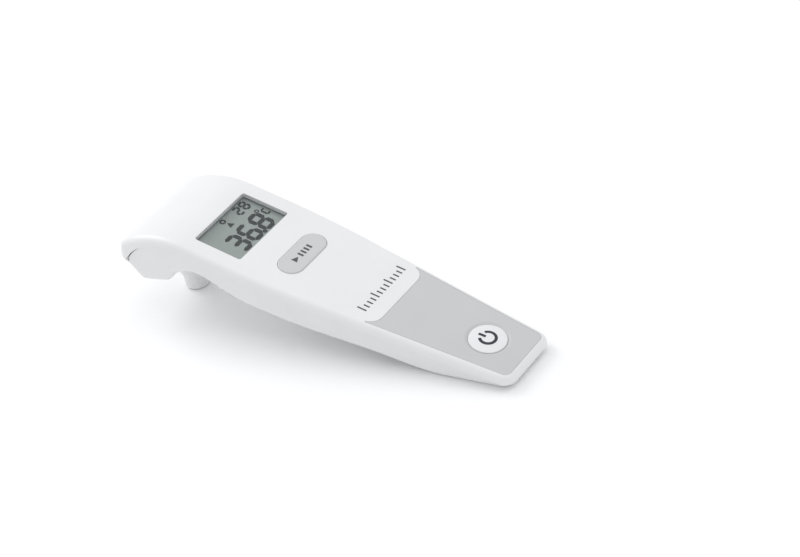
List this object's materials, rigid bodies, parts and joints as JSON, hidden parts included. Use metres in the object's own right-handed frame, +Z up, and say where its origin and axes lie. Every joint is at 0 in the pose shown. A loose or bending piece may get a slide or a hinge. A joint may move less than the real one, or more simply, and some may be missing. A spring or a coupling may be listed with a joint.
{
  "type": "digital ear thermometer",
  "caption": "Slim wand ear thermometer with a display and two keys on a sloping face and a short upright probe under its head.",
  "frame": {"origin": "centre of the footprint on the table, level with the probe tip and the flat tail underside", "axes": "+X towards the tail, +Z up, Y across the wand, symmetric about Y = 0"},
  "size_m": [0.1474, 0.04, 0.0336],
  "materials": {
    "white_shell": "satin white ABS",
    "probe_white": "smooth white ABS",
    "grey_inlay": "fine matt grey",
    "key_grey": "soft satin light grey",
    "key_white": "satin white",
    "clear_window": "clear polycarbonate",
    "lcd_glass": "reflective display glass, grey green",
    "silver_film": "matt silver film",
    "inner_plastic": "plain moulded plastic",
    "rubber_black": "matt black",
    "board_green": "solder mask",
    "chip_black": "moulded black",
    "steel_bright": "bright nickel steel",
    "ceramic_tan": "ceramic",
    "spring_brass": "gold-plated spring strip",
    "gold_tube": "gold-plated",
    "window_film": "thin infrared film",
    "film_amber": "amber flexible film"
  },
  "bodies": {
    "housing": {"top_cover": "white_shell", "bottom_cover": "white_shell", "grip_inlay": "grey_inlay", "display_window": "clear_window", "lcd_glass": "lcd_glass", "lcd_reflector": "silver_film", "lcd_frame": "inner_plastic", "elastomer_connector": "rubber_black", "circuit_board": "board_green", "microcontroller": "chip_black", "amplifier_chip": "chip_black", "crystal": "steel_bright", "small_components": "ceramic_tan", "buzzer": "chip_black", "start_switch": "steel_bright", "power_switch": "steel_bright", "battery_holder": "chip_black", "coin_cell": "steel_bright", "contact_positive": "spring_brass", "contact_negative": "spring_brass", "housing_screws": "steel_bright", "probe_cone": "probe_white", "probe_window": "window_film", "waveguide": "gold_tube", "thermopile_sensor": "steel_bright", "sensor_holder": "gold_tube", "sensor_leads": "film_amber", "probe_seal": "rubber_black", "probe_retainer": "inner_plastic"},
    "start_key": {"start_button": "key_grey", "start_switch_stem": "chip_black"},
    "power_key": {"power_button": "key_white", "power_switch_stem": "chip_black"},
    "battery_door": {"battery_cover": "white_shell"}
  },
  "joints": [
    {"name": "start_press", "type": "slide", "parent": "housing", "child": "start_key", "axis": [-0.2334, 0, -0.9724], "range_m": [0, 0.00035], "stiffness_N_per_m": 4000},
    {"name": "power_press", "type": "slide", "parent": "housing", "child": "power_key", "axis": [-0.2334, 0, -0.9724], "range_m": [0, 0.00035], "stiffness_N_per_m": 4000},
    {"name": "battery_cover_lift", "type": "slide", "parent": "housing", "child": "battery_door", "axis": [-0.2334, 0, -0.9724], "range_m": [0, 0.005]}
  ]
}
